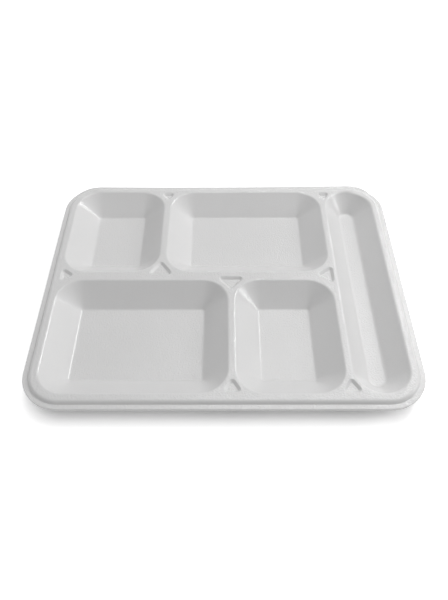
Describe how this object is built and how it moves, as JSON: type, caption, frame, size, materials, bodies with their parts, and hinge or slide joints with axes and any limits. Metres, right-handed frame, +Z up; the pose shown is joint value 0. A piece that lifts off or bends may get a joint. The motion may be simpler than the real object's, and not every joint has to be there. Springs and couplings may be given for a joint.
{
  "type": "compartment meal tray",
  "caption": "Shallow rectangular foam meal tray with rounded corners, a stepped rim, four square sloping-sided food compartments and a long round-ended cutlery slot.",
  "frame": {"origin": "on the resting face, under the middle of the outline", "axes": "+X runs to the right along the long side, towards the cutlery slot, +Y to the back edge, +Z up out of the open compartments"},
  "size_m": [0.2636, 0.2124, 0.016],
  "materials": {
    "foam": "soft matte white foam with a fine bead texture"
  },
  "bodies": {
    "root": {"tray": "foam"}
  },
  "joints": []
}
